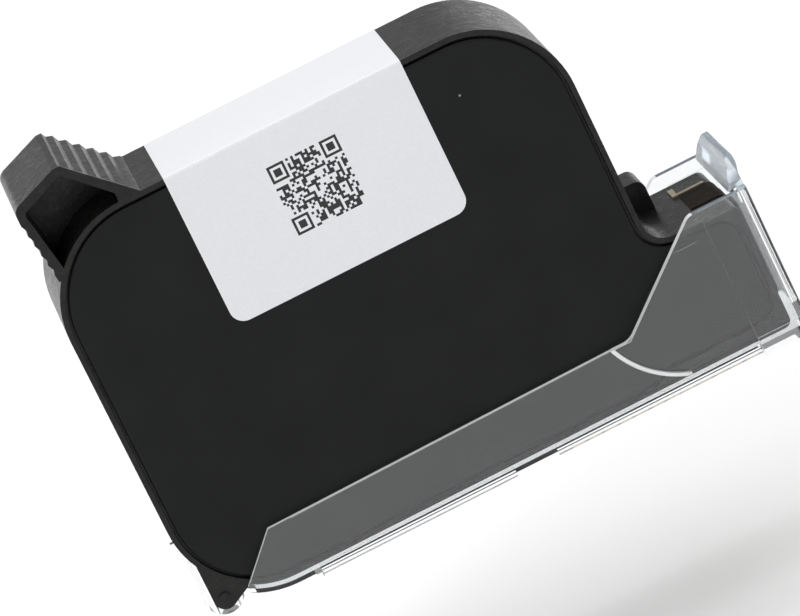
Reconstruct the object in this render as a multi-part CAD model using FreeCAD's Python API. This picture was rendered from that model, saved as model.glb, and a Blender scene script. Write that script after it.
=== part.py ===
"""Thermal inkjet cartridge with its print head and its clear storage clip, in millimetres.

While it is being built, x is counted from the body's left edge, y from the middle of its thickness and
z from the underside of the pen frame. The export moves everything so that z starts at the resting face
and x and y are centred. The front, with the label and the larger view of the cover, faces -y.
"""

import FreeCAD
import Part
import math
import os

from FreeCAD import Vector

# Pen frame: the moulded ring round the ink bag, with its snout
body_length = 66.0
body_height = 50.0
thickness = 20.0
lower_corner_radius = 11.5
grip_corner_radius = 12.5
far_corner_radius = 12.0
snout_length = 11.1
snout_height = 16.3
snout_corner_radius = 1.0
notch_radius = 2.8
chamber_wall = 2.6

# Covers, let into the frame on both sides
cover_inset = 1.0
cover_gap = 0.35
cover_thickness = 0.9
cover_nose_radius = 2.3
cover_step_radius = 3.0
cover_step_from_nose = 17.6
cover_step_run = 2.5
cover_step_rise = 1.2

# Thumb grip on the upper corner, hollow from both sides up to a middle web
grip_toe_x = 2.0
grip_toe_drop = 5.4
grip_back_x = 0.95
grip_teeth_rise = 2.5
grip_shoulder_rise = 4.6
grip_shoulder_radius = 1.4
grip_peak_x = 7.1
grip_crest_x = 8.0
grip_peak_rise = 6.95
grip_peak_radius = 0.8
grip_foot_x = 15.2
grip_wall = 0.95
grip_root_wall = 1.4
grip_web = 1.2
grip_pocket_end_x = 12.4
grip_pocket_end_rise = 1.1
grip_pocket_end_lean = 0.5
grip_pocket_radius = 0.6
ridge_root_share = 0.55
ridge_pitch = 1.69
ridge_depth = 0.36
ridge_count = 6
ridge_first = -0.4
ridge_margin = 0.4
back_ridge_pitch = 1.4
back_ridge_depth = 0.25
back_ridge_count = 5

# Shoulder post on the snout
post_length = 3.5
post_front_y = 3.8
post_height = 4.1
post_corner_radius = 1.2

# Hinge of the clip: a bar between two cheeks at the lower corner
hinge_standoff = 1.97
hinge_bearing = 48.9
cheek_radius = 1.45
cheek_thickness = 1.1
cheek_rise = 5.2
cheek_reach = 3.3
hinge_bar_radius = 1.2
hinge_fit = 0.06
boss_radius = 0.7
boss_height = 0.3

# Ink bag: liner, films, plates, guards and spring
liner_clearance = 0.1
liner_wall = 1.1
film_thickness = 0.1
film_to_cover = 1.0
plate_length = 48.0
plate_height = 33.0
plate_corner_radius = 6.0
plate_thickness = 0.4
plate_to_film = 0.7
guard_thickness = 0.25
guard_border = 3.0
spring_reach = 19.0
spring_cut = 18.8
spring_gap = 0.1
spring_thickness = 0.35
spring_width = 10.0

# Filter between the bag and the stand pipe
outlet_half_width = 4.0
outlet_height = 7.6
filter_pocket_half_width = 5.5
filter_pocket_height = 9.8
filter_pocket_depth = 8.6
filter_fit = 0.1
filter_carrier_thickness = 1.6
filter_rim = 1.2
filter_screen_thickness = 0.2
filter_screen_margin = 0.4
pipe_half_width = 0.8

# Filling hole in the upper wall, closed by a ball
fill_x = 33.0
fill_ball_radius = 1.3
fill_fit = 0.05
liner_fill_radius = 1.6

# Print head on the nose
die_length = 14.0
die_width = 4.0
die_thickness = 0.6
die_bond = 0.12
die_fit = 0.2
ink_slot_width = 0.4
ink_slot_length = 12.9
nozzle_plate_length = 13.2
nozzle_plate_width = 3.8
nozzle_plate_thickness = 0.06
bead_length = 4.2
bead_width = 0.7
bead_height = 0.2
bead_gap = 0.05

# Flex circuit: contact face below, round the nose, tail on the snout
flex_thickness = 0.12
flex_run = 31.6
flex_wide_from_nose = 1.6
flex_wide_half = 8.6
flex_narrow_half = 3.9
flex_tail_run = 4.5
window_half_width = 2.4
window_length = 14.8
pad_columns = 13
pad_rows = 4
pad_margin = 2.1
pad_pitch_x = 2.1
pad_pitch_y = 4.2
pad_length = 1.5
pad_width = 2.6
pad_thickness = 0.05
trace_groups = 3
traces_per_group = 3
trace_pitch = 0.35
trace_width = 0.18
trace_thickness = 0.04
trace_margin = 1.1
trace_end_margin = 0.5
adhesive_width = 0.7
adhesive_height = 0.25
adhesive_gap = 0.05
adhesive_back_y = 7.5

# Label over the upper edge
label_left = 18.1
label_right = 48.8
label_drop = 19.65
label_thickness = 0.12
label_corner_radius = 1.8

# Storage clip
clip_side_gap = 0.3
clip_skirt = 0.45
clip_wall = 0.9
clip_nose_step = 0.35
clip_edge_level = 0.4
clip_floor_top = -0.4
clip_floor_bottom = -0.85
clip_foot_level = -1.55
clip_floor_from_hinge = 3.6
clip_toe_from_hinge = 3.0
clip_toe_rise = 0.1
clip_wall_left_from_hinge = 8.1
clip_wall_left_z = 6.8
clip_bend_from_nose = 18.3
clip_wall_bend_z = 7.4
clip_peak_from_nose = 5.9
clip_wall_above_snout = 1.6
clip_wall_bend_radius = 2.5
clip_wall_peak_radius = 1.5
clip_end_gap = 0.9
clip_end_wall = 1.0
clip_end_radius = 0.8
clip_inner_end_radius = 0.4
nose_step_from_nose = 20.8
nose_step_edge_from_nose = 14.7
nose_step_level = 0.85
nose_step_middle_from_nose = 18.9
nose_step_middle_z = 3.6
nose_step_radius = 12.0
nose_box_from_nose = 4.5
nose_relief_depth = 0.2
nose_relief_low = 0.5
wall_step_x = 13.7
wall_step_depth = 0.2
tongue_side_margin = 2.05
tongue_top_margin = 5.05
tongue_shoulder_rise = 1.4
tongue_rise = 3.5
tongue_radius = 2.6
tongue_lean = 0.4
tongue_tip_thickness = 0.8
tongue_tip_radius = 0.35
tongue_tip_height = 1.0
tongue_root_from_nose = 0.2
tongue_root_drop = 0.9
hook_wall = 1.2
hook_side_gap = 0.3
hook_open_from = -2.0
hook_open_to = 125.0
hook_mouth_steps = 4
hook_tab_width = 1.0
hook_tab_reach = 3.2
hook_tab_thickness = 0.45
hook_tab_low_rise = 2.4
hook_tab_rise = 3.6
hook_tab_inner_rise = 2.3
hook_tab_root_rise = 1.0
rail_width = 1.0
rail_margin = 0.65
rail_start_x = 14.3
rail_gap_start_x = 40.0
rail_gap_end_x = 45.5
foot_start_x = 13.5
snap_ridge_from_nose = 9.1
snap_ridge_length = 3.0
snap_ridge_drop = 2.2
snap_ridge_height = 0.4
snap_ridge_depth = 0.15

# Nozzle seal in the clip
seal_thickness = 0.6
seal_half_width = 3.0
seal_length = 12.5
seal_corner_radius = 1.2

# Construction: how far cutters reach past the part, and when two points are one
beyond = 5.0
same_point = 1e-6

half_thickness = thickness / 2
nose_x = body_length + snout_length
nose_middle_z = snout_height / 2
chamber_right = body_length - chamber_wall
cover_floor_y = half_thickness - cover_thickness
liner_half_depth = cover_floor_y - film_to_cover - film_thickness
plate_outer_y = liner_half_depth - plate_to_film
hinge_x = lower_corner_radius - (lower_corner_radius + hinge_standoff) * math.cos(math.radians(hinge_bearing))
hinge_z = lower_corner_radius - (lower_corner_radius + hinge_standoff) * math.sin(math.radians(hinge_bearing))
flex_start_x = nose_x - flex_run
flex_wide_end_x = nose_x - flex_wide_from_nose
flex_tail_start_x = nose_x - flex_tail_run
clip_floor_start_x = hinge_x + clip_floor_from_hinge
clip_wall_toe_x = hinge_x + clip_toe_from_hinge
clip_wall_left_x = hinge_x + clip_wall_left_from_hinge
clip_wall_bend_x = nose_x - clip_bend_from_nose
clip_wall_peak_x = nose_x - clip_peak_from_nose
clip_wall_top_z = snout_height + clip_wall_above_snout
nose_box_start_x = nose_x - nose_box_from_nose
hook_tab_left_x = hinge_x - hook_tab_reach
clip_inner_end = nose_x + clip_end_gap
clip_outer_end = clip_inner_end + clip_end_wall
clip_inner_y = half_thickness + clip_side_gap
clip_skirt_y = clip_inner_y + clip_skirt
clip_outer_y = clip_inner_y + clip_wall
clip_nose_y = clip_outer_y + clip_nose_step
hook_half_width = half_thickness - cheek_thickness - hook_side_gap
row_centre_x = (hook_tab_left_x + clip_outer_end + tongue_lean) / 2


def rounded_face(corners, place):
    """A face whose corners (a, b, radius) are rounded; place turns (a, b) into a point."""
    points = [place(a, b) for a, b, radius in corners]
    starts = []
    ends = []
    edges = []
    for number, (a, b, radius) in enumerate(corners):
        here = points[number]
        back = (points[number - 1] - here).normalize()
        ahead = (points[(number + 1) % len(points)] - here).normalize()
        if radius == 0:
            starts.append(here)
            ends.append(here)
            continue
        half_angle = back.getAngle(ahead) / 2
        reach = radius / math.tan(half_angle)
        middle = here + (back + ahead).normalize() * (radius / math.sin(half_angle) - radius)
        starts.append(here + back * reach)
        ends.append(here + ahead * reach)
        edges.append(Part.Arc(starts[-1], middle, ends[-1]).toShape())
    for number, end in enumerate(ends):
        following = starts[(number + 1) % len(starts)]
        if (following - end).Length > same_point:
            edges.append(Part.makeLine(end, following))
    return Part.Face(Part.Wire(Part.sortEdges(edges)[0]))


def side_plate(corners, y_from, y_to):
    """A plate between two values of y from corners (x, z, radius)."""
    face = rounded_face(corners, lambda x, z: Vector(x, y_from, z))
    return face.extrude(Vector(0, y_to - y_from, 0))


def end_plate(corners, x_from, x_to):
    """A plate between two values of x from corners (y, z, radius)."""
    face = rounded_face(corners, lambda y, z: Vector(x_from, y, z))
    return face.extrude(Vector(x_to - x_from, 0, 0))


def floor_plate(corners, z_from, z_to):
    """A plate between two values of z from corners (x, y, radius)."""
    face = rounded_face(corners, lambda x, y: Vector(x, y, z_from))
    return face.extrude(Vector(0, 0, z_to - z_from))


def block(x_from, x_to, y_from, y_to, z_from, z_to):
    """A box between two corners."""
    return Part.makeBox(x_to - x_from, y_to - y_from, z_to - z_from, Vector(x_from, y_from, z_from))


def cross_cylinder(x, z, radius, y_from, y_to):
    """A cylinder along y."""
    return Part.makeCylinder(radius, y_to - y_from, Vector(x, y_from, z), Vector(0, 1, 0))


def both_sides(shape):
    """The shape and its mirror image across the middle of the thickness."""
    return [shape, shape.mirror(Vector(0, 0, 0), Vector(0, 1, 0))]


def union(shapes):
    """One solid from several that touch."""
    joined = shapes[0].fuse(shapes[1:])
    return joined.removeSplitter()


def cover_corners(inset):
    """Outline of a cover, or of the recess for it, at a distance from the frame's edge."""
    low = inset + cover_step_rise
    step_x = nose_x - cover_step_from_nose
    nose_radius = cover_nose_radius + cover_inset - inset
    return [
        (inset, inset, lower_corner_radius - inset),
        (step_x, inset, cover_step_radius),
        (step_x + cover_step_run, low, cover_step_radius),
        (nose_x - inset, low, nose_radius),
        (nose_x - inset, snout_height - inset, nose_radius),
        (body_length - inset, snout_height - inset, notch_radius + inset),
        (body_length - inset, body_height - inset, far_corner_radius - inset),
        (inset, body_height - inset, grip_corner_radius - inset),
    ]


def chamber_corners(inset):
    """Outline of the bag chamber at a distance from the body's edge."""
    return [
        (inset, inset, lower_corner_radius - inset),
        (body_length - inset, inset, lower_corner_radius - inset),
        (body_length - inset, body_height - inset, far_corner_radius - inset),
        (inset, body_height - inset, grip_corner_radius - inset),
    ]


def plate_corners(border):
    """Outline of a pressure plate, drawn in by a border."""
    left = (body_length - plate_length) / 2 + border
    low = (body_height - plate_height) / 2 + border
    radius = plate_corner_radius - border
    return [
        (left, low, radius),
        (body_length - left, low, radius),
        (body_length - left, body_height - low, radius),
        (left, body_height - low, radius),
    ]


def under_corners(level):
    """A large plate whose lower left edge runs along the frame's lower corner at a level."""
    return [
        (level, level, lower_corner_radius - level),
        (clip_outer_end + beyond, level, 0),
        (clip_outer_end + beyond, body_height, 0),
        (level, body_height, 0),
    ]


def ridge_cuts(start, end, inside, first, pitch, depth, count):
    """Steps cut along y into the slope from start to end; inside is 1 if the part is on its right, else -1."""
    along = (end - start).normalize()
    inward = Vector(along.z, 0, -along.x) * inside
    span = Vector(0, thickness + beyond, 0)
    cuts = []
    for number in range(count):
        tip = start + along * (first + number * pitch)
        root = tip + along * (pitch * ridge_root_share) + inward * depth
        following = tip + along * pitch
        lid = [following - inward * depth, tip - inward * depth]
        groove = Part.makePolygon([tip, root, following] + lid + [tip])
        cuts.append(Part.Face(groove).extrude(span))
    return cuts


def make_thumb_grip():
    toe_z = body_height - grip_toe_drop
    teeth_z = body_height + grip_teeth_rise
    shoulder_z = body_height + grip_shoulder_rise
    peak_z = body_height + grip_peak_rise
    outer = [
        (grip_toe_x, toe_z, 0),
        (grip_back_x, teeth_z, 0),
        (grip_back_x, shoulder_z, grip_shoulder_radius),
        (grip_peak_x, peak_z, grip_peak_radius),
        (grip_crest_x, peak_z, 0),
        (grip_foot_x, body_height, 0),
        (grip_foot_x, toe_z, 0),
    ]
    inner = [
        (grip_toe_x + grip_root_wall, toe_z, 0),
        (grip_back_x + grip_wall, shoulder_z - grip_wall, grip_pocket_radius),
        (grip_crest_x - grip_wall / 2, peak_z - grip_wall, grip_pocket_radius),
        (grip_pocket_end_x, body_height + grip_pocket_end_rise, grip_pocket_radius),
        (grip_pocket_end_x - grip_pocket_end_lean, toe_z, 0),
    ]
    grip = side_plate(outer, -half_thickness, half_thickness)
    pocket = side_plate(inner, -half_thickness - beyond, -grip_web / 2)
    grip = grip.cut(both_sides(pocket))
    rib_y = -half_thickness + ridge_margin
    crest = Vector(grip_crest_x, rib_y, peak_z)
    foot = Vector(grip_foot_x, rib_y, body_height)
    grip = grip.cut(ridge_cuts(crest, foot, 1, ridge_first, ridge_pitch, ridge_depth, ridge_count))
    outside_y = -half_thickness - beyond / 2
    back = Vector(grip_back_x, outside_y, teeth_z)
    toe = Vector(grip_toe_x, outside_y, toe_z)
    return grip.cut(ridge_cuts(back, toe, -1, 0, back_ridge_pitch, back_ridge_depth, back_ridge_count))


def make_hinge():
    cheek_right_x = hinge_x + cheek_reach
    over = lower_corner_radius - cheek_right_x
    cheek_right_z = lower_corner_radius - math.sqrt(lower_corner_radius ** 2 - over ** 2)
    cheek_corners = [
        (hinge_x - cheek_radius, hinge_z + cheek_rise, 0),
        (hinge_x - cheek_radius, hinge_z, 0),
        (hinge_x, hinge_z, 0),
        (hinge_x + cheek_radius / 2, hinge_z - cheek_radius * math.cos(math.pi / 6), 0),
        (cheek_right_x, cheek_right_z, 0),
        (lower_corner_radius, lower_corner_radius, 0),
    ]
    front = -half_thickness
    back = front + cheek_thickness
    cheek = side_plate(cheek_corners, front, back)
    disc = cross_cylinder(hinge_x, hinge_z, cheek_radius, front, back)
    boss = cross_cylinder(hinge_x, hinge_z, boss_radius, front - boss_height, front)
    bar = cross_cylinder(hinge_x, hinge_z, hinge_bar_radius, back, -back)
    pieces = []
    for piece in (cheek, disc, boss):
        pieces += both_sides(piece)
    return pieces + [bar]


def make_pen_frame():
    profile = [
        (0, 0, lower_corner_radius),
        (nose_x, 0, snout_corner_radius),
        (nose_x, snout_height, snout_corner_radius),
        (body_length, snout_height, notch_radius),
        (body_length, body_height, far_corner_radius),
        (0, body_height, grip_corner_radius),
    ]
    shell = side_plate(profile, -half_thickness, half_thickness)
    post_corners = [
        (body_length - chamber_wall / 2, snout_height - chamber_wall, 0),
        (body_length + post_length, snout_height - chamber_wall, 0),
        (body_length + post_length, snout_height + post_height, post_corner_radius),
        (body_length - chamber_wall / 2, snout_height + post_height, 0),
    ]
    post = side_plate(post_corners, post_front_y, half_thickness)
    grip = make_thumb_grip().cut(shell)
    frame = shell.fuse([grip, post] + make_hinge())
    recess = side_plate(cover_corners(cover_inset - cover_gap), -half_thickness - beyond, -cover_floor_y)
    chamber = side_plate(chamber_corners(chamber_wall), -half_thickness, half_thickness)
    pocket_low = nose_middle_z - filter_pocket_height / 2
    pocket = block(
        chamber_right - beyond,
        chamber_right + filter_pocket_depth,
        -filter_pocket_half_width,
        filter_pocket_half_width,
        pocket_low,
        pocket_low + filter_pocket_height,
    )
    pipe_half = ink_slot_length / 2
    pipe_low = nose_middle_z - filter_pocket_height / 2 + filter_fit
    pipe = block(
        chamber_right + filter_pocket_depth,
        nose_x,
        -pipe_half_width,
        pipe_half_width,
        pipe_low,
        pipe_low + filter_pocket_height - 2 * filter_fit,
    )
    fan = block(
        nose_x - die_bond - die_thickness - ink_slot_width,
        nose_x,
        -ink_slot_width / 2,
        ink_slot_width / 2,
        nose_middle_z - pipe_half,
        nose_middle_z + pipe_half,
    )
    die_pocket = block(
        nose_x - die_bond - die_thickness,
        nose_x + beyond,
        -die_width / 2 - die_fit,
        die_width / 2 + die_fit,
        nose_middle_z - die_length / 2 - die_fit,
        nose_middle_z + die_length / 2 + die_fit,
    )
    fill_hole = Part.makeCylinder(fill_ball_radius + fill_fit, body_height, Vector(fill_x, 0, body_height / 2))
    return frame.cut(both_sides(recess) + [chamber, pocket, pipe, fan, die_pocket, fill_hole]).removeSplitter()


def make_cover(side):
    cover = side_plate(cover_corners(cover_inset), -half_thickness, -cover_floor_y)
    return both_sides(cover)[side]


def make_inner_liner():
    outer_inset = chamber_wall + liner_clearance
    outer = side_plate(chamber_corners(outer_inset), -liner_half_depth, liner_half_depth)
    inner = side_plate(chamber_corners(outer_inset + liner_wall), -liner_half_depth, liner_half_depth)
    outlet = block(
        body_length / 2,
        body_length,
        -outlet_half_width,
        outlet_half_width,
        nose_middle_z - outlet_height / 2,
        nose_middle_z + outlet_height / 2,
    )
    fill_hole = Part.makeCylinder(liner_fill_radius, body_height, Vector(fill_x, 0, body_height / 2))
    return outer.cut([inner, outlet, fill_hole])


def make_film(side):
    outline = chamber_corners(chamber_wall + liner_clearance)
    film = side_plate(outline, -liner_half_depth - film_thickness, -liner_half_depth)
    return both_sides(film)[side]


def make_piston(side):
    plate = side_plate(plate_corners(0), -plate_outer_y, -plate_outer_y + plate_thickness)
    return both_sides(plate)[side]


def make_edge_guard(side):
    outer = side_plate(plate_corners(0), -plate_outer_y - guard_thickness, -plate_outer_y)
    inner = side_plate(plate_corners(guard_border), -plate_outer_y - guard_thickness, -plate_outer_y)
    return both_sides(outer.cut(inner))[side]


def make_bow_spring():
    rise = plate_outer_y - plate_thickness - spring_gap
    radius = (spring_reach ** 2 + rise ** 2) / (2 * rise)
    low = (body_height - spring_width) / 2

    def lens(size):
        discs = []
        for way in (-1, 1):
            centre = Vector(body_length / 2, way * (radius - rise), low)
            discs.append(Part.makeCylinder(size, spring_width, centre))
        return discs[0].common(discs[1])

    ring = lens(radius).cut(lens(radius - spring_thickness))
    middle = body_length / 2
    return ring.common(block(middle - spring_cut, middle + spring_cut, -rise, rise, low, low + spring_width))


def make_filter_carrier():
    x_from = chamber_right + filter_fit
    low = nose_middle_z - filter_pocket_height / 2 + filter_fit
    half = filter_pocket_half_width - filter_fit
    high = 2 * nose_middle_z - low
    plate = block(x_from, x_from + filter_carrier_thickness, -half, half, low, high)
    opening = block(
        x_from,
        x_from + filter_carrier_thickness,
        -half + filter_rim,
        half - filter_rim,
        low + filter_rim,
        high - filter_rim,
    )
    return plate.cut(opening)


def make_filter_screen():
    x_from = chamber_right + filter_fit + filter_carrier_thickness
    low = nose_middle_z - filter_pocket_height / 2 + filter_fit + filter_screen_margin
    half = filter_pocket_half_width - filter_fit - filter_screen_margin
    return block(x_from, x_from + filter_screen_thickness, -half, half, low, 2 * nose_middle_z - low)


def make_fill_port_ball():
    centre_z = body_height - fill_ball_radius - fill_fit
    return Part.makeSphere(fill_ball_radius, Vector(fill_x, 0, centre_z))


def head_plate(x_from, x_to, width, length):
    """A plate of the print head, centred on the nose."""
    low = nose_middle_z - length / 2
    return block(x_from, x_to, -width / 2, width / 2, low, low + length)


def make_printhead_die():
    die = head_plate(nose_x - die_thickness, nose_x, die_width, die_length)
    return die.cut(head_plate(nose_x - die_thickness, nose_x, ink_slot_width, ink_slot_length))


def make_die_adhesive():
    back = nose_x - die_thickness - die_bond
    bond = head_plate(back, back + die_bond, die_width, die_length)
    return bond.cut(head_plate(back, back + die_bond, 2 * pipe_half_width, ink_slot_length))


def make_nozzle_plate():
    return head_plate(nose_x, nose_x + nozzle_plate_thickness, nozzle_plate_width, nozzle_plate_length)


def make_bond_bead(way):
    inner_z = nozzle_plate_length / 2 + bead_gap
    outer_z = inner_z + bead_width
    low, high = sorted((nose_middle_z + way * inner_z, nose_middle_z + way * outer_z))
    corners = [
        (-bead_length / 2, low, bead_height),
        (bead_length / 2, low, bead_height),
        (bead_length / 2, high, bead_height),
        (-bead_length / 2, high, bead_height),
    ]
    return end_plate(corners, nose_x, nose_x + bead_height)


def make_flex_circuit():
    out = flex_thickness
    strip_corners = [
        (flex_start_x, -out, 0),
        (nose_x + out, -out, snout_corner_radius + out),
        (nose_x + out, snout_height + out, snout_corner_radius + out),
        (flex_tail_start_x, snout_height + out, 0),
        (flex_tail_start_x, snout_height, 0),
        (nose_x, snout_height, snout_corner_radius),
        (nose_x, 0, snout_corner_radius),
        (flex_start_x, 0, 0),
    ]
    strip = side_plate(strip_corners, -flex_narrow_half, flex_narrow_half)
    wide = block(flex_start_x, flex_wide_end_x, -flex_wide_half, flex_wide_half, -out, 0)
    window = head_plate(nose_x - out, nose_x + 2 * out, 2 * window_half_width, window_length)
    return union([strip, wide]).cut(window)


def make_contact_pads():
    bottom = -flex_thickness - pad_thickness
    pads = []
    for column in range(pad_columns):
        x_from = flex_start_x + pad_margin + column * pad_pitch_x
        for row in range(pad_rows):
            middle = (row - (pad_rows - 1) / 2) * pad_pitch_y
            y_from = middle - pad_width / 2
            pads.append(block(x_from, x_from + pad_length, y_from, y_from + pad_width, bottom, -flex_thickness))
    return Part.makeCompound(pads)


def make_copper_traces():
    bottom = -flex_thickness - trace_thickness
    traces = []
    for group in range(trace_groups):
        middle = (group - (trace_groups - 1) / 2) * pad_pitch_y
        for line in range(traces_per_group):
            y_from = middle + (line - (traces_per_group - 1) / 2) * trace_pitch - trace_width / 2
            traces.append(
                block(
                    flex_start_x + trace_margin,
                    flex_wide_end_x - trace_end_margin,
                    y_from,
                    y_from + trace_width,
                    bottom,
                    -flex_thickness,
                )
            )
    return Part.makeCompound(traces)


def make_tail_adhesive():
    edge_y = flex_narrow_half + adhesive_gap
    top = snout_height + adhesive_height
    right = nose_x - snout_corner_radius
    left = flex_tail_start_x - adhesive_width
    along = block(left, right, edge_y, edge_y + adhesive_width, snout_height, top)
    across = block(left, left + adhesive_width, edge_y, adhesive_back_y, snout_height, top)
    return union([along, across])


def make_label():
    low = body_height - label_drop
    high = body_height + label_thickness
    outer_y = half_thickness + label_thickness
    front_corners = [
        (label_left, low, label_corner_radius),
        (label_right, low, label_corner_radius),
        (label_right, high, 0),
        (label_left, high, 0),
    ]
    front = side_plate(front_corners, -outer_y, -half_thickness)
    top = block(label_left, label_right, -outer_y, outer_y, body_height, high)
    return union(both_sides(front) + [top])


def wall_corners(level):
    """Outline of a side wall of the clip, down to a level under the frame."""
    return [
        (clip_wall_toe_x, level - beyond, 0),
        (clip_outer_end, level - beyond, 0),
        (clip_outer_end, clip_wall_top_z, 0),
        (clip_wall_peak_x, clip_wall_top_z, clip_wall_peak_radius),
        (clip_wall_bend_x, clip_wall_bend_z, clip_wall_bend_radius),
        (clip_wall_left_x, clip_wall_left_z, 0),
        (clip_wall_toe_x, hinge_z + clip_toe_rise, 0),
    ]


def make_clip_channel():
    skirt = side_plate(wall_corners(clip_floor_bottom), -clip_skirt_y, clip_skirt_y)
    skirt = skirt.common(side_plate(under_corners(clip_floor_bottom), -clip_skirt_y, clip_skirt_y))
    wall = side_plate(wall_corners(clip_edge_level), -clip_outer_y, clip_outer_y)
    wall = wall.common(side_plate(under_corners(clip_edge_level), -clip_outer_y, clip_outer_y))
    nose_corners = [
        (nose_x - nose_step_from_nose, clip_wall_bend_z, 0),
        (nose_x - nose_step_middle_from_nose, nose_step_middle_z, nose_step_radius),
        (nose_x - nose_step_edge_from_nose, nose_step_level, 0),
        (nose_box_start_x, nose_step_level, 0),
        (nose_box_start_x, clip_foot_level, 0),
        (clip_outer_end, clip_foot_level, 0),
        (clip_outer_end, clip_wall_top_z, 0),
        (clip_wall_peak_x, clip_wall_top_z, clip_wall_peak_radius),
        (clip_wall_bend_x, clip_wall_bend_z, 0),
    ]
    nose = side_plate(nose_corners, -clip_nose_y, clip_nose_y)
    solid = union([skirt, wall, nose])
    rounding = floor_plate(
        [
            (-beyond, -clip_nose_y, 0),
            (clip_outer_end, -clip_nose_y, clip_end_radius),
            (clip_outer_end, clip_nose_y, clip_end_radius),
            (-beyond, clip_nose_y, 0),
        ],
        clip_foot_level,
        clip_wall_top_z,
    )
    inside = floor_plate(
        [
            (-beyond, -clip_inner_y, 0),
            (clip_inner_end, -clip_inner_y, clip_inner_end_radius),
            (clip_inner_end, clip_inner_y, clip_inner_end_radius),
            (-beyond, clip_inner_y, 0),
        ],
        -beyond,
        body_height,
    )
    room = side_plate(under_corners(clip_floor_top), -clip_inner_y, clip_inner_y)
    return solid.common(rounding).cut(room.common(inside))


def make_tongue():
    tongue_half_base = clip_nose_y - tongue_side_margin
    tongue_half_top = clip_nose_y - tongue_top_margin
    tongue_shoulder_z = clip_wall_top_z + tongue_shoulder_rise
    tongue_top_z = clip_wall_top_z + tongue_rise
    corners = [
        (-tongue_half_base, clip_wall_top_z - beyond, 0),
        (tongue_half_base, clip_wall_top_z - beyond, 0),
        (tongue_half_base, tongue_shoulder_z, tongue_radius),
        (tongue_half_top, tongue_top_z, tongue_radius),
        (-tongue_half_top, tongue_top_z, tongue_radius),
        (-tongue_half_base, tongue_shoulder_z, tongue_radius),
    ]
    tip_x = clip_outer_end + tongue_lean
    plate = end_plate(corners, nose_x - beyond, tip_x)
    section_corners = [
        (clip_inner_end, clip_wall_top_z - beyond, 0),
        (clip_outer_end, clip_wall_top_z - beyond, 0),
        (clip_outer_end, tongue_shoulder_z, 0),
        (tip_x, tongue_top_z - tongue_tip_height, 0),
        (tip_x, tongue_top_z, tongue_tip_radius),
        (tip_x - tongue_tip_thickness, tongue_top_z, tongue_tip_radius),
        (nose_x - tongue_root_from_nose, clip_wall_top_z, 0),
        (clip_inner_end, clip_wall_top_z - tongue_root_drop, 0),
    ]
    return plate.common(side_plate(section_corners, -tongue_half_base, tongue_half_base))


def make_hook():
    width = hook_half_width
    inner_radius = hinge_bar_radius + hinge_fit
    outer_radius = inner_radius + hook_wall
    ring = cross_cylinder(hinge_x, hinge_z, outer_radius, -width, width)
    reach = 2 * outer_radius
    mouth_points = [Vector(hinge_x, -width, hinge_z)]
    for step in range(hook_mouth_steps + 1):
        share = step / hook_mouth_steps
        angle = math.radians(hook_open_from + (hook_open_to - hook_open_from) * share)
        mouth_points.append(Vector(hinge_x + reach * math.cos(angle), -width, hinge_z + reach * math.sin(angle)))
    mouth_points.append(mouth_points[0])
    mouth = Part.Face(Part.makePolygon(mouth_points)).extrude(Vector(0, 2 * width, 0))
    strap = side_plate(under_corners(clip_floor_bottom), -width, width)
    strap = strap.cut(side_plate(under_corners(clip_floor_top), -width, width))
    strap = strap.common(block(hinge_x + hinge_bar_radius, clip_floor_start_x + beyond, -width, width, -beyond, beyond))
    strap = strap.cut(block(hinge_x, hinge_x + outer_radius, -width, width, hinge_z + hook_wall / 2, beyond))
    tab_corners = [
        (hinge_x - outer_radius, hinge_z, 0),
        (hook_tab_left_x, hinge_z + hook_tab_low_rise, 0),
        (hook_tab_left_x, hinge_z + hook_tab_rise, 0),
        (hook_tab_left_x + hook_tab_thickness, hinge_z + hook_tab_rise, 0),
        (hook_tab_left_x + 2 * hook_tab_thickness, hinge_z + hook_tab_inner_rise, 0),
        (hinge_x - inner_radius, hinge_z + hook_tab_root_rise, 0),
        (hinge_x - inner_radius - hook_wall / 2, hinge_z, 0),
    ]
    tab = side_plate(tab_corners, width - hook_tab_width, width)
    hook = union([ring.cut(mouth), strap, tab])
    return hook.cut(cross_cylinder(hinge_x, hinge_z, inner_radius, -width, width))


def make_storage_clip():
    cheek_room = block(-beyond, clip_floor_start_x, hook_half_width, clip_inner_y, -beyond, beyond)
    relief_y = clip_inner_y + nose_relief_depth
    relief = block(nose_box_start_x, clip_inner_end, -relief_y, relief_y, nose_relief_low, snout_height)
    step = block(-beyond, wall_step_x, clip_outer_y - wall_step_depth, clip_outer_y, -beyond, body_height)
    channel = make_clip_channel().cut(both_sides(cheek_room) + both_sides(step) + [relief])
    foot = block(foot_start_x, rail_start_x, -clip_skirt_y, clip_skirt_y, clip_foot_level, clip_floor_bottom)
    rail_outer_y = clip_skirt_y - rail_margin
    rail_inner_y = rail_outer_y - rail_width
    rails = []
    for x_from, x_to in ((rail_start_x, rail_gap_start_x), (rail_gap_end_x, nose_box_start_x)):
        rail = block(x_from, x_to, -rail_outer_y, -rail_inner_y, clip_foot_level, clip_floor_bottom)
        rails += both_sides(rail)
    ridge_x = nose_x - snap_ridge_from_nose
    ridge_z = snout_height - snap_ridge_drop
    ridge = block(
        ridge_x,
        ridge_x + snap_ridge_length,
        -clip_inner_y,
        -clip_inner_y + snap_ridge_depth,
        ridge_z,
        ridge_z + snap_ridge_height,
    )
    return union([channel, make_tongue(), make_hook(), foot] + rails + both_sides(ridge))


def make_nozzle_seal():
    low = nose_middle_z - seal_length / 2
    corners = [
        (-seal_half_width, low, seal_corner_radius),
        (seal_half_width, low, seal_corner_radius),
        (seal_half_width, low + seal_length, seal_corner_radius),
        (-seal_half_width, low + seal_length, seal_corner_radius),
    ]
    return end_plate(corners, clip_inner_end - seal_thickness, clip_inner_end)


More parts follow.
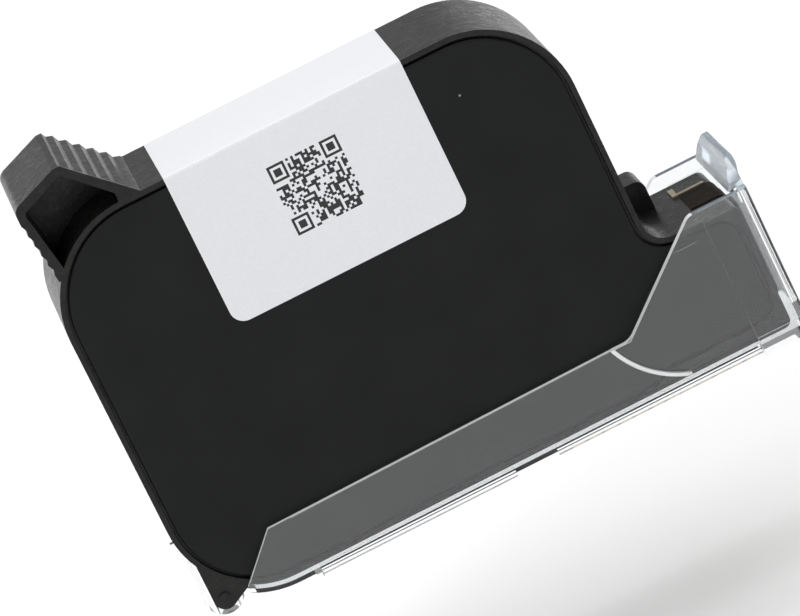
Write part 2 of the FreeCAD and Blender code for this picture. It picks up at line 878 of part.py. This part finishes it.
def build_all():
    front, rear = 0, 1
    return {
        "pen_frame": make_pen_frame(),
        "front_cover": make_cover(front),
        "rear_cover": make_cover(rear),
        "inner_liner": make_inner_liner(),
        "front_film": make_film(front),
        "rear_film": make_film(rear),
        "front_piston": make_piston(front),
        "rear_piston": make_piston(rear),
        "front_edge_guard": make_edge_guard(front),
        "rear_edge_guard": make_edge_guard(rear),
        "bow_spring": make_bow_spring(),
        "filter_carrier": make_filter_carrier(),
        "filter_screen": make_filter_screen(),
        "fill_port_ball": make_fill_port_ball(),
        "printhead_die": make_printhead_die(),
        "die_adhesive": make_die_adhesive(),
        "nozzle_plate": make_nozzle_plate(),
        "lower_bond_bead": make_bond_bead(-1),
        "upper_bond_bead": make_bond_bead(1),
        "flex_circuit": make_flex_circuit(),
        "contact_pads": make_contact_pads(),
        "copper_traces": make_copper_traces(),
        "tail_adhesive": make_tail_adhesive(),
        "label": make_label(),
        "storage_clip": make_storage_clip(),
        "nozzle_seal": make_nozzle_seal(),
    }


os.makedirs("parts", exist_ok=True)
shift = Vector(-row_centre_x, 0, -clip_foot_level)
for node, shape in build_all().items():
    shape.translate(shift)
    shape.exportStep("parts/" + node + ".step")
    print(node, "solids", len(shape.Solids), "volume", round(shape.Volume, 3), "valid", shape.isValid())
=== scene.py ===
"""Looks of the ink cartridge and its clear storage clip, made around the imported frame. Lengths are in metres."""
import math
import bpy
from mathutils import Matrix, Vector


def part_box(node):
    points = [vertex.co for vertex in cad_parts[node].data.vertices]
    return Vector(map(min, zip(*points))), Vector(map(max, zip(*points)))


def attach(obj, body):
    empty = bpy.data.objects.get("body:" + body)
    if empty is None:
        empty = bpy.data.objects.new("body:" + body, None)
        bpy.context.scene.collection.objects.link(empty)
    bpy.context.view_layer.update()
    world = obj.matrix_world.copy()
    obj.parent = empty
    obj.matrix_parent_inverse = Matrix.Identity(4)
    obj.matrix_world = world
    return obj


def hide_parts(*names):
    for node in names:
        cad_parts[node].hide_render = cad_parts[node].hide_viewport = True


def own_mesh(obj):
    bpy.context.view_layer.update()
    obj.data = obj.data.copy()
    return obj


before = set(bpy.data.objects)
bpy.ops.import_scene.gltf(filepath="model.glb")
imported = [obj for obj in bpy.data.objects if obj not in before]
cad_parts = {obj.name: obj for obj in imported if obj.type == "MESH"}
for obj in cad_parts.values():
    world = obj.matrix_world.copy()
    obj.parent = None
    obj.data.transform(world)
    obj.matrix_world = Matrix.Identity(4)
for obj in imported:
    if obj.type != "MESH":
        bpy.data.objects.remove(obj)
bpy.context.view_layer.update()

MM = 0.001

# Shaping: angles are in degrees.
SHARP_EDGE = 30.0
SMOOTH_BEYOND_EDGE = 12.0
FLAT_WITHIN = 0.5
MERGE_DISTANCE = 0.0005 * MM
SAME_PLACE = 0.01 * MM

# Label and its code. A mark's middle is counted in modules from the code's corner.
LABEL_CORNER = 1.8 * MM
LABEL_FOLD = 0.3 * MM
PAPER = 0.12 * MM
CODE_MODULES = 29
CODE_SIDE = 9.0 * MM
CODE_FROM_LEFT = 11.2 * MM
CODE_FROM_BOTTOM = 6.35 * MM
MARK_MIDDLE = 3.5

# Patterns.
GRAIN_DEPTH = 0.005 * MM
NOZZLE_COLUMN = 1.2 * MM
NOZZLE_PITCH = 0.2 * MM
NOZZLE_RADIUS = 0.05 * MM

# Clip: the parts of its walls that aren't clear, and a band of painted highlight along the ledge. The ledge is an
# arc about a point behind the nose's end.
TONGUE_HEIGHT = 3.5 * MM
CLIP_SIDE_GAP = 0.3 * MM
CLIP_REACH = 26.0 * MM
NOSE_END = 3.0 * MM
SIDEWAYS = 0.95
DOWNWARDS = -0.5
LEDGE_FROM_NOSE = 9.6 * MM
LEDGE_HEIGHT = 13.42 * MM
LEDGE_RADIUS = 12.0 * MM
LEDGE_HIGHLIGHT_WIDTH = 0.5 * MM
LEDGE_TOP = 8.95 * MM
LEDGE_END_FROM_NOSE = 13.3 * MM


# ---------------------------------------------------------------- node helpers
def paint(code):
    """A colour socket's value from an sRGB hex code."""
    channels = []
    for start in (1, 3, 5):
        level = int(code[start:start + 2], 16) / 255
        channels.append(level / 12.92 if level <= 0.04045 else ((level + 0.055) / 1.055) ** 2.4)
    return (*channels, 1.0)


def fill(node, settings):
    """Sets a node's inputs and properties by name or number. An output given as a value is linked to the input."""
    for name, value in settings.items():
        if isinstance(value, bpy.types.NodeSocket):
            node.id_data.links.new(value, node.inputs[name])
        elif isinstance(name, int) or name in node.inputs:
            node.inputs[name].default_value = value
        else:
            setattr(node, name, value)


def add(tree, kind, settings, result=0):
    """Adds a node with its settings and links, and gives one of its outputs."""
    node = tree.nodes.new(kind)
    fill(node, settings)
    return node.outputs[result]


def per_feature(size_mm):
    """The scale of a noise or cell pattern whose features are this many millimetres across."""
    return 1 / (size_mm * MM)


def new_finish(name):
    """A new material, its tree, its shader and the object coordinates that its patterns follow."""
    finish = bpy.data.materials.new(name)
    finish.use_nodes = True
    tree = finish.node_tree
    return finish, tree, tree.nodes["Principled BSDF"], add(tree, "ShaderNodeTexCoord", {}, "Object")


# ---------------------------------------------------------------- finishes
def glass_filled_black():
    """Glass-filled black plastic, moulded against a spark-eroded steel: its skin is mottled, so a low light breaks
    into grey patches with a fine grain over them."""
    finish, tree, shader, place = new_finish("glass_filled_black")
    cloud = add(tree, "ShaderNodeTexNoise", {"Vector": place, "Scale": per_feature(1.4), "Detail": 4.0})
    mottle = add(tree, "ShaderNodeTexNoise", {"Vector": place, "Scale": per_feature(0.4), "Detail": 3.0})
    both = add(tree, "ShaderNodeMath", {"operation": "ADD", 0: cloud, 1: mottle})
    patches = add(tree, "ShaderNodeMapRange", {"Value": both, "From Min": 0.8, "From Max": 1.25})
    tones = {"data_type": "RGBA", 0: patches, 6: paint("#0a0a09"), 7: paint("#181816")}
    fill(shader, {
        "Base Color": add(tree, "ShaderNodeMix", tones, 2),
        "Roughness": add(tree, "ShaderNodeMapRange", {"Value": patches, "To Min": 0.38, "To Max": 0.25}),
        "Normal": add(tree, "ShaderNodeBump", {"Height": both, "Distance": 0.03 * MM, "Strength": 0.6}),
        "IOR": 1.54,
        "Specular IOR Level": 0.26,
    })
    return finish


def satin_cover_black():
    """Black PET cover with an even satin skin: nearly no pattern, only a faint haze and a few specks of dust."""
    finish, tree, shader, place = new_finish("satin_cover_black")
    haze = add(tree, "ShaderNodeTexNoise", {"Vector": place, "Scale": per_feature(9.0)})
    grain = add(tree, "ShaderNodeTexNoise", {"Vector": place, "Scale": per_feature(0.16)})
    cells = add(tree, "ShaderNodeTexVoronoi", {"Vector": place, "Scale": per_feature(11.0)}, "Distance")
    spread = {"Value": cells, "From Min": 0.010, "From Max": 0.015, "To Min": 1.0, "To Max": 0.0}
    body = {"data_type": "RGBA", 0: haze, 6: paint("#0f1010"), 7: paint("#1a1b1b")}
    dusty = {"data_type": "RGBA", 0: add(tree, "ShaderNodeMapRange", spread), 7: paint("#8f8f8a")}
    dusty[6] = add(tree, "ShaderNodeMix", body, 2)
    fill(shader, {
        "Base Color": add(tree, "ShaderNodeMix", dusty, 2),
        "Roughness": add(tree, "ShaderNodeMapRange", {"Value": grain, "To Min": 0.40, "To Max": 0.50}),
        "Normal": add(tree, "ShaderNodeBump", {"Height": grain, "Distance": 0.006 * MM, "Strength": 0.5}),
        "IOR": 1.5,
        "Specular IOR Level": 0.16,
    })
    return finish


def code_ink(tree, place):
    """The square code's ink as 0 or 1: random modules, with three plain square marks in the corners."""
    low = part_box("label")[0]
    module = CODE_SIDE / CODE_MODULES
    origin = (low[0] + CODE_FROM_LEFT, low[1] - module / 2, low[2] + CODE_FROM_BOTTOM)
    steps = {"vector_type": "TEXTURE", "Vector": place, "Location": origin, "Scale": (module, module, module)}
    grid = add(tree, "ShaderNodeMapping", steps)
    half, near, far = CODE_MODULES / 2, MARK_MIDDLE, CODE_MODULES - MARK_MIDDLE
    away = []
    for across, up in ((half, half), (near, near), (near, far), (far, far)):
        offset = add(tree, "ShaderNodeVectorMath", {"operation": "SUBTRACT", 0: grid, 1: (across, 0.0, up)})
        size = add(tree, "ShaderNodeVectorMath", {"operation": "ABSOLUTE", 0: offset})
        x, y, z = add(tree, "ShaderNodeSeparateXYZ", {0: size}).node.outputs
        largest = add(tree, "ShaderNodeMath", {"operation": "MAXIMUM", 0: x, 1: y})
        away.append(add(tree, "ShaderNodeMath", {"operation": "MAXIMUM", 0: largest, 1: z}))
    nearest = away[1]
    for other in away[2:]:
        nearest = add(tree, "ShaderNodeMath", {"operation": "MINIMUM", 0: nearest, 1: other})
    cell = add(tree, "ShaderNodeVectorMath", {"operation": "FLOOR", 0: grid})
    chance = add(tree, "ShaderNodeTexWhiteNoise", {"Vector": cell}, "Value")
    dots = add(tree, "ShaderNodeMath", {"operation": "GREATER_THAN", 0: chance, 1: 0.52})
    outside = add(tree, "ShaderNodeMath", {"operation": "GREATER_THAN", 0: nearest, 1: MARK_MIDDLE + 1})
    ring = add(tree, "ShaderNodeMath", {"operation": "COMPARE", 0: nearest, 1: MARK_MIDDLE - 0.5, 2: 0.5})
    heart = add(tree, "ShaderNodeMath", {"operation": "LESS_THAN", 0: nearest, 1: MARK_MIDDLE - 2})
    inside = add(tree, "ShaderNodeMath", {"operation": "LESS_THAN", 0: away[0], 1: half})
    marks = add(tree, "ShaderNodeMath", {"operation": "ADD", 0: ring, 1: heart})
    ink = add(tree, "ShaderNodeMath", {"operation": "MULTIPLY_ADD", 0: dots, 1: outside, 2: marks})
    return add(tree, "ShaderNodeMath", {"operation": "MULTIPLY", 0: ink, 1: inside})


def printed_label():
    """Coated white label paper with a meaningless square code. The coat gives a soft sheen, and the sheet is never
    quite flat."""
    finish, tree, shader, place = new_finish("printed_label")
    fibre = add(tree, "ShaderNodeTexNoise", {"Vector": place, "Scale": per_feature(0.3), "Detail": 3.0})
    wave = add(tree, "ShaderNodeTexNoise", {"Vector": place, "Scale": per_feature(7.0), "Detail": 1.0})
    height = add(tree, "ShaderNodeMath", {"operation": "MULTIPLY_ADD", 0: wave, 1: 6.0, 2: fibre})
    paper = {"data_type": "RGBA", 0: fibre, 6: paint("#ebecef"), 7: paint("#e1e2e6")}
    printed = {"data_type": "RGBA", 0: code_ink(tree, place), 7: paint("#1d1c1c")}
    printed[6] = add(tree, "ShaderNodeMix", paper, 2)
    fill(shader, {
        "Base Color": add(tree, "ShaderNodeMix", printed, 2),
        "Roughness": add(tree, "ShaderNodeMapRange", {"Value": fibre, "To Min": 0.32, "To Max": 0.5}),
        "Normal": add(tree, "ShaderNodeBump", {"Height": height, "Distance": 0.02 * MM, "Strength": 0.5}),
        "IOR": 1.5,
    })
    return finish


def painted_ledge_highlight(tree, place):
    """The band of painted highlight along the curved ledge between the side wall and the wider nose box, as 0 or
    1.
    """
    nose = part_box("pen_frame")[1][0]
    shift = (LEDGE_FROM_NOSE - nose, 0.0, -LEDGE_HEIGHT)
    flat = add(tree, "ShaderNodeVectorMath", {"operation": "MULTIPLY_ADD", 0: place, 1: (1.0, 0.0, 1.0), 2: shift})
    away = add(tree, "ShaderNodeVectorMath", {"operation": "LENGTH", 0: flat}, "Value")
    # Painted highlight: a band along the ledge's arc, wider than the ledge itself.
    line = add(tree, "ShaderNodeMath", {"operation": "COMPARE", 0: away, 1: LEDGE_RADIUS, 2: LEDGE_HIGHLIGHT_WIDTH / 2})
    x, _, z = add(tree, "ShaderNodeSeparateXYZ", {0: place}).node.outputs
    low = add(tree, "ShaderNodeMath", {"operation": "LESS_THAN", 0: z, 1: LEDGE_TOP})
    left = add(tree, "ShaderNodeMath", {"operation": "LESS_THAN", 0: x, 1: nose - LEDGE_END_FROM_NOSE})
    corner = add(tree, "ShaderNodeMath", {"operation": "MULTIPLY", 0: low, 1: left})
    return add(tree, "ShaderNodeMath", {"operation": "MULTIPLY", 0: line, 1: corner})


def clear_styrene():
    """Crystal-clear styrene of the clip, polished by its mould: it mirrors the room over the black body. Along the
    curved ledge of its side walls, a band is made white, matt and nearly opaque. It is a painted highlight for the
    light that the rounded ledge catches, and shows as a white line."""
    finish, tree, shader, place = new_finish("clear_styrene")
    # Painted highlight along the ledge: the band is made white, matt and nearly opaque.
    ledge_highlight = painted_ledge_highlight(tree, place)
    tint = {"data_type": "RGBA", 0: ledge_highlight, 6: paint("#fbfdfe"), 7: paint("#f8fafa")}
    fill(shader, {
        "Base Color": add(tree, "ShaderNodeMix", tint, 2),
        "Roughness": add(tree, "ShaderNodeMath", {"operation": "MULTIPLY", 0: ledge_highlight, 1: 0.4}),
        "Transmission Weight": add(tree, "ShaderNodeMapRange", {"Value": ledge_highlight, "To Min": 1.0, "To Max": 0.15}),
        "IOR": 1.59,
    })
    return finish


def thick_styrene():
    """The finger tongue, the thickest section of the clip: the plastic's blue tint gathers in it, and fine flow
    marks make it hazy."""
    finish, tree, shader, place = new_finish("thick_styrene")
    flow = add(tree, "ShaderNodeMapping", {"Vector": place, "Scale": (1.0, 0.3, 1.0)})
    flow = add(tree, "ShaderNodeTexNoise", {"Vector": flow, "Scale": per_feature(2.5), "Detail": 3.0})
    tones = {"data_type": "RGBA", 0: flow, 6: paint("#f6fafd"), 7: paint("#9cc2e4")}
    fill(shader, {
        "Base Color": add(tree, "ShaderNodeMix", tones, 2),
        "Roughness": add(tree, "ShaderNodeMapRange", {"Value": flow, "To Min": 0.1, "To Max": 0.3}),
        "Transmission Weight": 0.78,
        "IOR": 1.59,
    })
    return finish


def frosted_styrene():
    """Cut and stepped edges of the clip, left matt by the mould: they collect the walls' light and look white."""
    finish, tree, shader, place = new_finish("frosted_styrene")
    drag = add(tree, "ShaderNodeTexNoise", {"Vector": place, "Scale": per_feature(0.5), "Detail": 3.0})
    tones = {"data_type": "RGBA", 0: drag, 6: paint("#fcfdfd"), 7: paint("#eef1f1")}
    fill(shader, {
        "Base Color": add(tree, "ShaderNodeMix", tones, 2),
        "Roughness": add(tree, "ShaderNodeMapRange", {"Value": drag, "To Min": 0.3, "To Max": 0.5}),
        "Normal": add(tree, "ShaderNodeBump", {"Height": drag, "Distance": 0.01 * MM, "Strength": 0.5}),
        "Transmission Weight": 0.1,
        "IOR": 1.59,
    })
    return finish


def polyimide_film():
    """Amber polyimide over copper: nearly black brown and silky, with the conductors just felt through it."""
    finish, tree, shader, place = new_finish("polyimide_film")
    cloud = add(tree, "ShaderNodeTexNoise", {"Vector": place, "Scale": per_feature(1.6), "Detail": 3.0})
    bands = {"Vector": place, "Scale": per_feature(7.0), "Distortion": 0.4, "bands_direction": "Y"}
    lines = add(tree, "ShaderNodeTexWave", bands, "Fac")
    striped = {"data_type": "RGBA", 0: lines, 6: paint("#140d06"), 7: paint("#22180b")}
    clouded = {"data_type": "RGBA", 0: cloud, 7: paint("#0e0904"), 6: add(tree, "ShaderNodeMix", striped, 2)}
    fill(shader, {
        "Base Color": add(tree, "ShaderNodeMix", clouded, 2),
        "Roughness": add(tree, "ShaderNodeMapRange", {"Value": cloud, "To Min": 0.5, "To Max": 0.65}),
        "Normal": add(tree, "ShaderNodeBump", {"Height": lines, "Distance": 0.01 * MM, "Strength": 0.5}),
        "IOR": 1.45,
        "Specular IOR Level": 0.08,
    })
    return finish


def plain_finish(name, light, dark, roughness, size_mm, stretch=(1, 1, 1), **surface):
    """A finish with one pattern: a noise that shifts colour, gloss and height together by a small amount."""
    finish, tree, shader, place = new_finish(name)
    grain = add(tree, "ShaderNodeMapping", {"Vector": place, "Scale": stretch})
    grain = add(tree, "ShaderNodeTexNoise", {"Vector": grain, "Scale": per_feature(size_mm), "Detail": 3.0})
    pattern = add(tree, "ShaderNodeMapRange", {"Value": grain, "From Min": 0.3, "From Max": 0.7})
    tones = {"data_type": "RGBA", 0: pattern, 6: paint(light), 7: paint(dark)}
    gloss = {"Value": pattern, "To Min": roughness * 0.85, "To Max": roughness * 1.15}
    fill(shader, {
        "Base Color": add(tree, "ShaderNodeMix", tones, 2),
        "Roughness": add(tree, "ShaderNodeMapRange", gloss),
        "Normal": add(tree, "ShaderNodeBump", {"Height": pattern, "Distance": GRAIN_DEPTH, "Strength": 0.5}),
        **surface,
    })
    return finish


def woven_screen():
    """Stainless wire cloth of the filter: 0.1 mm wires, drawn here 0.25 mm apart so that the weave can be seen."""
    finish, tree, shader, place = new_finish("woven_screen")
    wires = {"operation": "MAXIMUM"}
    for number, direction in enumerate(("Y", "Z")):
        bands = {"Vector": place, "Scale": per_feature(5.0), "bands_direction": direction}
        wires[number] = add(tree, "ShaderNodeTexWave", bands, "Fac")
    weave = add(tree, "ShaderNodeMath", wires)
    tones = {"data_type": "RGBA", 0: weave, 6: paint("#3a3c3e"), 7: paint("#b9bcbe")}
    fill(shader, {
        "Base Color": add(tree, "ShaderNodeMix", tones, 2),
        "Roughness": add(tree, "ShaderNodeMapRange", {"Value": weave, "To Min": 0.5, "To Max": 0.28}),
        "Normal": add(tree, "ShaderNodeBump", {"Height": weave, "Distance": 0.03 * MM}),
        "Metallic": 1.0,
    })
    return finish


def nozzle_foil():
    """Polyimide nozzle plate: brown foil with two columns of nozzles, drawn 0.2 mm apart so that they can be
    seen."""
    finish, tree, shader, place = new_finish("nozzle_foil")
    low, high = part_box("nozzle_plate")
    columns = (0.0, (low[1] + high[1]) / 2, 0.0)
    centred = add(tree, "ShaderNodeVectorMath", {"operation": "SUBTRACT", 0: place, 1: columns})
    _, y, z = add(tree, "ShaderNodeSeparateXYZ", {0: centred}).node.outputs
    side = add(tree, "ShaderNodeMath", {"operation": "ABSOLUTE", 0: y})
    aside = add(tree, "ShaderNodeMath", {"operation": "SUBTRACT", 0: side, 1: NOZZLE_COLUMN})
    along = add(tree, "ShaderNodeMath", {"operation": "PINGPONG", 0: z, 1: NOZZLE_PITCH / 2})
    spot = add(tree, "ShaderNodeCombineXYZ", {"X": aside, "Y": along})
    away = add(tree, "ShaderNodeVectorMath", {"operation": "LENGTH", 0: spot}, "Value")
    nozzle = add(tree, "ShaderNodeMath", {"operation": "LESS_THAN", 0: away, 1: NOZZLE_RADIUS})
    cloud = add(tree, "ShaderNodeTexNoise", {"Vector": place, "Scale": per_feature(0.8), "Detail": 3.0})
    foil = {"data_type": "RGBA", 0: cloud, 6: paint("#8a6428"), 7: paint("#6e4c1c")}
    pierced = {"data_type": "RGBA", 0: nozzle, 6: add(tree, "ShaderNodeMix", foil, 2), 7: paint("#120d06")}
    fill(shader, {
        "Base Color": add(tree, "ShaderNodeMix", pierced, 2),
        "Roughness": add(tree, "ShaderNodeMapRange", {"Value": cloud, "To Min": 0.2, "To Max": 0.36}),
        "IOR": 1.7,
    })
    return finish


# ---------------------------------------------------------------- shaping helpers
def take_up(piece):
    """Makes this the only selected piece."""
    bpy.ops.object.select_all(action="DESELECT")
    piece.select_set(True)
    bpy.context.view_layer.objects.active = piece


def select_parts(piece, kind, wanted):
    """In edit mode, selects the vertices or edges whose place passes a test."""
    bpy.ops.mesh.select_mode(type=kind)
    bpy.ops.mesh.select_all(action="DESELECT")
    bpy.ops.object.mode_set(mode="OBJECT")
    points = piece.data.vertices
    if kind == "VERT":
        for point in points:
            point.select = wanted(point.co)
    else:
        for edge in piece.data.edges:
            edge.select = all(wanted(points[end].co) for end in edge.vertices)
    bpy.ops.object.mode_set(mode="EDIT")


def round_edges(piece, width_mm, segments=3):
    """Breaks the sharp edges as a mould does, and shades the rest smoothly."""
    take_up(piece)
    bevel = piece.modifiers.new("broken_edges", "BEVEL")
    bevel.width = width_mm * MM
    bevel.segments = segments
    bevel.limit_method = "ANGLE"
    bevel.angle_limit = math.radians(SHARP_EDGE)
    bpy.ops.object.modifier_apply(modifier=bevel.name)
    bpy.ops.object.shade_smooth_by_angle(angle=math.radians(SHARP_EDGE + SMOOTH_BEYOND_EDGE))
    shading = piece.modifiers.new("even_shading", "WEIGHTED_NORMAL")
    shading.keep_sharp = True
    bpy.ops.object.modifier_apply(modifier=shading.name)


def shaped_from(node, name, edge_mm, segments=3):
    """A piece with the node's shape, its facets joined into whole faces and its edges broken."""
    piece = bpy.data.objects.new(name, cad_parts[node].data.copy())
    bpy.context.scene.collection.objects.link(piece)
    take_up(piece)
    bpy.ops.object.mode_set(mode="EDIT")
    bpy.ops.mesh.select_all(action="SELECT")
    bpy.ops.mesh.remove_doubles(threshold=MERGE_DISTANCE)
    bpy.ops.mesh.dissolve_limited(angle_limit=math.radians(FLAT_WITHIN))
    bpy.ops.object.mode_set(mode="OBJECT")
    round_edges(piece, edge_mm, segments)
    return piece


def settle(piece, body, finish, slot, *nodes):
    """Gives a finished piece its finish, its body and the nodes that it stands for."""
    piece.data.materials.clear()
    piece.data.materials.append(finish)
    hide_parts(*nodes)
    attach(piece, body)


# ---------------------------------------------------------------- pieces
def fold_label():
    """The label: one sheet, laid on the front, folded over the top edge and down the rear."""
    low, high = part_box("label")
    front, rear, top = low[1] + PAPER, high[1] - PAPER, high[2] - PAPER
    middle = ((low[0] + high[0]) / 2, front, (low[2] + top) / 2)
    bpy.ops.object.select_all(action="DESELECT")
    bpy.ops.mesh.primitive_plane_add(size=1, location=middle, rotation=(math.pi / 2, 0, 0))
    piece = bpy.context.active_object
    piece.name = "label_sheet"
    bpy.ops.transform.resize(value=(high[0] - low[0], 1, top - low[2]))
    bpy.ops.object.transform_apply(location=True, rotation=True, scale=True)
    bpy.ops.object.mode_set(mode="EDIT")
    select_parts(piece, "EDGE", lambda place: place.z > top - SAME_PLACE)
    bpy.ops.mesh.extrude_region_move(TRANSFORM_OT_translate={"value": (0, rear - front, 0)})
    bpy.ops.mesh.extrude_region_move(TRANSFORM_OT_translate={"value": (0, 0, low[2] - top)})
    select_parts(piece, "VERT", lambda place: place.z < low[2] + SAME_PLACE)
    bpy.ops.mesh.bevel(offset=LABEL_CORNER, segments=8, affect="VERTICES")
    for side_y in (front, rear):
        select_parts(piece, "EDGE", lambda place: (
            place.z > top - SAME_PLACE and abs(place.y - side_y) < SAME_PLACE
        ))
        bpy.ops.mesh.bevel(offset=LABEL_FOLD, segments=5)
    bpy.ops.mesh.select_all(action="SELECT")
    bpy.ops.mesh.normals_make_consistent(inside=False)
    bpy.ops.object.mode_set(mode="OBJECT")
    thickness = piece.modifiers.new("paper", "SOLIDIFY")
    thickness.thickness = PAPER
    thickness.offset = 1.0
    bpy.ops.object.modifier_apply(modifier=thickness.name)
    bpy.ops.object.shade_smooth_by_angle(angle=math.radians(SHARP_EDGE))
    return piece


def frost_edges(clip):
    """Gives the narrow faces of the side walls the matt finish: their rims, the step to the nose and its relief.
    The tongue gets its own."""
    wall_inside = abs(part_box("front_cover")[0][1]) + CLIP_SIDE_GAP
    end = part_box("storage_clip")[1][0] - NOSE_END
    tongue_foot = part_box("storage_clip")[1][2] - TONGUE_HEIGHT
    clip.data.materials.append(frosted_styrene())
    clip.data.materials.append(thick_styrene())
    for face in clip.data.polygons:
        on_wall = abs(face.center.y) > wall_inside and face.center.x < end
        if on_wall and abs(face.normal.y) < SIDEWAYS and face.normal.z > DOWNWARDS:
            face.material_index = 1
        if face.center.z > tongue_foot:
            face.material_index = 2


def make_pieces():
    black = glass_filled_black()
    cover_black = satin_cover_black()
    settle(shaped_from("pen_frame", "moulded_frame", 0.14), "cartridge", black, "frame_black", "pen_frame")
    for node, name in (("front_cover", "cover_front"), ("rear_cover", "cover_rear")):
        settle(shaped_from(node, name, 0.35, 5), "cartridge", cover_black, "cover_black", node)
    settle(fold_label(), "cartridge", printed_label(), "label_paper", "label")
    clip = shaped_from("storage_clip", "clear_clip", 0.15)
    settle(clip, "clip", clear_styrene(), "clip_clear", "storage_clip")
    frost_edges(clip)
    rubber = plain_finish("seal_rubber", "#22303f", "#1a2531", 0.62, 0.4)
    settle(shaped_from("nozzle_seal", "nozzle_pad", 0.12), "clip", rubber, "seal_rubber", "nozzle_seal")
    steel_strip = plain_finish("spring_steel", "#a9abad", "#909294", 0.3, 0.2, (0.05, 0.05, 1), Metallic=1.0)
    spring = shaped_from("bow_spring", "bow_spring_strip", 0.05, 2)
    settle(spring, "cartridge", steel_strip, "spring_steel", "bow_spring")
    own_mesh(spring)


def finish_nodes():
    """Gives each part that keeps its own shape a finish."""
    natural = plain_finish("natural_pp", "#c9c7bf", "#bcbab1", 0.5, 1.5)
    film = plain_finish("bag_film", "#c9ccce", "#bfc3c6", 0.2, 3.0)
    plate = plain_finish("rolled_steel", "#c2c4c6", "#aeb0b2", 0.26, 0.15, (0.04, 1, 1), Metallic=1.0)
    guard = plain_finish("guard_film", "#cdc5a4", "#bdb592", 0.3, 2.0)
    finishes = {
        "inner_liner": natural,
        "front_film": film,
        "rear_film": film,
        "front_piston": plate,
        "rear_piston": plate,
        "front_edge_guard": guard,
        "rear_edge_guard": guard,
        "filter_carrier": natural,
        "filter_screen": woven_screen(),
        "fill_port_ball": plain_finish("bearing_steel", "#d0d2d4", "#c4c6c8", 0.08, 0.5, Metallic=1.0),
        "printhead_die": plain_finish("polished_silicon", "#3c3f47", "#34373e", 0.15, 1.0, IOR=3.5),
        "die_adhesive": plain_finish("die_bond", "#4a3a2c", "#3d2f23", 0.45, 0.3),
        "nozzle_plate": nozzle_foil(),
        "lower_bond_bead": plain_finish("encapsulant", "#141416", "#0e0e10", 0.16, 0.5),
        "flex_circuit": polyimide_film(),
        "contact_pads": plain_finish("plated_gold", "#e2b25a", "#d39f44", 0.28, 0.12, Metallic=1.0),
        "copper_traces": plain_finish("covered_copper", "#c07e4c", "#a96a3c", 0.3, 0.2, Metallic=1.0),
        "tail_adhesive": plain_finish("beige_adhesive", "#a0957c", "#887d66", 0.4, 0.5),
    }
    finishes["upper_bond_bead"] = finishes["lower_bond_bead"]
    for node, finish in finishes.items():
        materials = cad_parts[node].data.materials
        materials.clear()
        materials.append(finish)


# ---------------------------------------------------------------- studio
def set_studio():
    """A pale floor in a room that is bright near the horizon and dimmer above, under two large soft lights. The
    floor lies below the lowest reach of the opened clip."""
    world = bpy.data.worlds.new("white_room")
    bpy.context.scene.world = world
    world.use_nodes = True
    tree = world.node_tree
    heading = add(tree, "ShaderNodeTexCoord", {}, "Generated")
    height = add(tree, "ShaderNodeSeparateXYZ", {0: heading}, "Z")
    fade = {"Value": height, "From Min": 0.02, "From Max": 0.16, "To Min": 1.45, "To Max": 0.27}
    fill(tree.nodes["Background"], {"Strength": add(tree, "ShaderNodeMapRange", fade), "Color": paint("#ffffff")})
    bpy.ops.object.select_all(action="DESELECT")
    bpy.ops.mesh.primitive_plane_add(size=8, location=(0, 0, -CLIP_REACH))
    floor = bpy.context.active_object
    floor.name = "floor"
    finish, tree, shader, place = new_finish("pale_floor")
    cloud = add(tree, "ShaderNodeTexNoise", {"Vector": place, "Scale": per_feature(60.0)})
    tones = {"data_type": "RGBA", 0: cloud, 6: paint("#fafafa"), 7: paint("#f4f4f4")}
    fill(shader, {"Base Color": add(tree, "ShaderNodeMix", tones, 2), "Roughness": 0.8})
    floor.data.materials.append(finish)
    for name, place, size, power in (
        ("ceiling", (0.0, 0.3, 2.2), 4.0, 82.0),
        ("key", (-1.0, -1.6, 1.5), 1.0, 9.5),
    ):
        lamp = bpy.data.lights.new(name, "AREA")
        lamp.size = size
        lamp.energy = power
        holder = bpy.data.objects.new(name, lamp)
        bpy.context.scene.collection.objects.link(holder)
        aim = Vector((0, 0, 0.03)) - Vector(place)
        holder.matrix_world = Matrix.Translation(place) @ aim.to_track_quat("-Z", "Y").to_matrix().to_4x4()
    settings = bpy.context.scene.view_settings
    settings.view_transform = "Standard"
    settings.look = "None"


def set_camera():
    """A long lens a little above the front, turned so that the cartridge hangs nose down."""
    elevation, azimuth, roll = math.radians(15.493), math.radians(2.2744), math.radians(26.138)
    aim = Vector((-3.236, -10.0, 24.927)) * MM
    distance = 733.59 * MM
    level = math.cos(elevation)
    forward = Vector((math.sin(azimuth) * level, math.cos(azimuth) * level, -math.sin(elevation)))
    right = forward.cross(Vector((0, 0, 1))).normalized()
    turn = Matrix((right, right.cross(forward), -forward)).transposed() @ Matrix.Rotation(-roll, 3, "Z")
    lens = bpy.data.cameras.new("camera")
    lens.lens = 281.79
    lens.sensor_width = 36.0
    lens.clip_start = 0.01
    lens.clip_end = 20
    camera = bpy.data.objects.new("camera", lens)
    bpy.context.scene.collection.objects.link(camera)
    camera.matrix_world = Matrix.Translation(aim - forward * distance) @ turn.to_4x4()
    bpy.context.scene.camera = camera


make_pieces()
finish_nodes()
set_studio()
set_camera()
